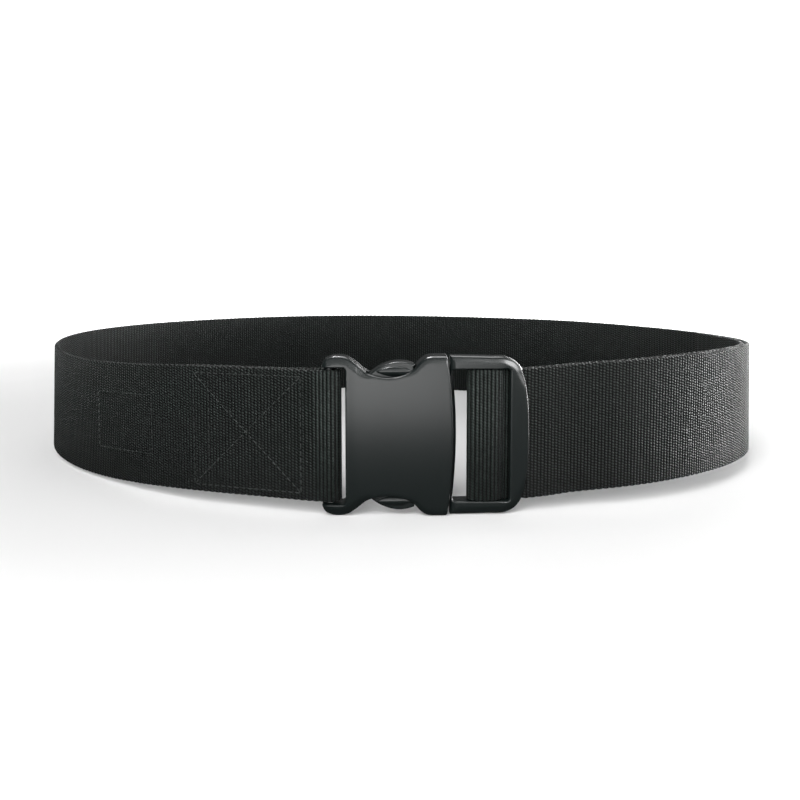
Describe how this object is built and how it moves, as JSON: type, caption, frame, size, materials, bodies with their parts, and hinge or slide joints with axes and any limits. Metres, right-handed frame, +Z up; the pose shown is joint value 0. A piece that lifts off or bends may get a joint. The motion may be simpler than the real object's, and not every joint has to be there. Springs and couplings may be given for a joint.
{
  "type": "duty belt",
  "caption": "Woven web belt standing on edge as a closed loop, fastened by a side-release buckle; one end is sewn round the socket, the other threads the plug as an adjustable free tail.",
  "frame": {"origin": "middle of the belt's footprint, on the surface that it stands on", "axes": "+X along the loop's width, to the right seen from the buckle side; +Y from the buckle to the back; +Z up, across the web"},
  "size_m": [0.3528, 0.2982, 0.0616],
  "materials": {
    "web": "coarse ribbed nylon weave, matt black",
    "socket_plastic": "satin moulded black",
    "plug_plastic": "satin moulded black"
  },
  "bodies": {
    "root": {"web_strap": "web", "buckle_socket": "socket_plastic", "buckle_plug": "plug_plastic"}
  },
  "joints": []
}
